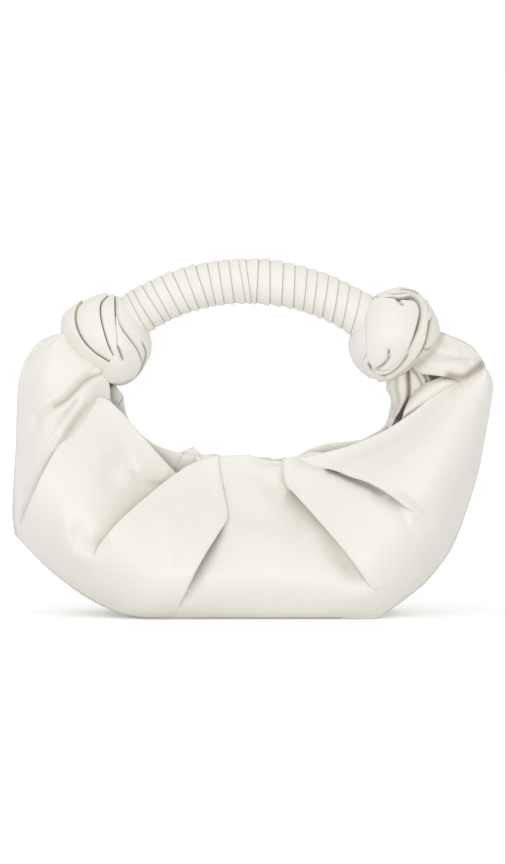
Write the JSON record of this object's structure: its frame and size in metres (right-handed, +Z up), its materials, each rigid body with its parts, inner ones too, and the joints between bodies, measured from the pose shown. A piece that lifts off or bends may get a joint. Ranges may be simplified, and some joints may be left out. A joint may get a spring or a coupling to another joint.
{
  "type": "knot handle hand bag",
  "caption": "Crescent leather hand bag with pleated front and back, gathered ends tied to knots, and an arched padded handle bound with a wound leather strip.",
  "frame": {"origin": "on the floor under the middle of the bag", "axes": "+X to the right as seen from the front, +Y to the back, +Z up"},
  "size_m": [0.3392, 0.1146, 0.2524],
  "materials": {
    "ivory_leather": "smooth, soft sheen",
    "lining_fabric": "woven twill",
    "base_board": "matte",
    "handle_foam": "open felted",
    "wire_steel": "plain drawn",
    "snap_brass": "polished"
  },
  "bodies": {
    "base": {"base_panel": "ivory_leather", "base_board": "base_board", "base_lining": "lining_fabric", "left_end": "ivory_leather", "left_end_lining": "lining_fabric", "right_end": "ivory_leather", "right_end_lining": "lining_fabric"},
    "front": {"front_panel": "ivory_leather", "front_lining": "lining_fabric", "front_facing": "ivory_leather", "snap_stud": "snap_brass", "stud_washer": "wire_steel"},
    "back": {"back_panel": "ivory_leather", "back_lining": "lining_fabric", "back_facing": "ivory_leather", "slip_pocket": "lining_fabric", "snap_socket": "snap_brass", "snap_magnet": "wire_steel", "socket_washer": "wire_steel"},
    "handle": {"handle_padding": "handle_foam", "handle_wire": "wire_steel", "handle_wrap_left": "ivory_leather", "handle_wrap_right": "ivory_leather", "left_knot": "ivory_leather", "right_knot": "ivory_leather"}
  },
  "joints": [
    {"name": "handle_swing", "type": "hinge", "parent": "base", "child": "handle", "pos_m": [0, 0, 0.194], "axis": [1, 0, 0], "range_deg": [-60, 60]},
    {"name": "front_open", "type": "hinge", "parent": "base", "child": "front", "pos_m": [0, -0.038, 0], "axis": [1, 0, 0], "range_deg": [0, 18], "stiffness_Nm_per_rad": 1},
    {"name": "back_open", "type": "hinge", "parent": "base", "child": "back", "pos_m": [0, 0.038, 0], "axis": [-1, 0, 0], "range_deg": [0, 18], "stiffness_Nm_per_rad": 1}
  ]
}
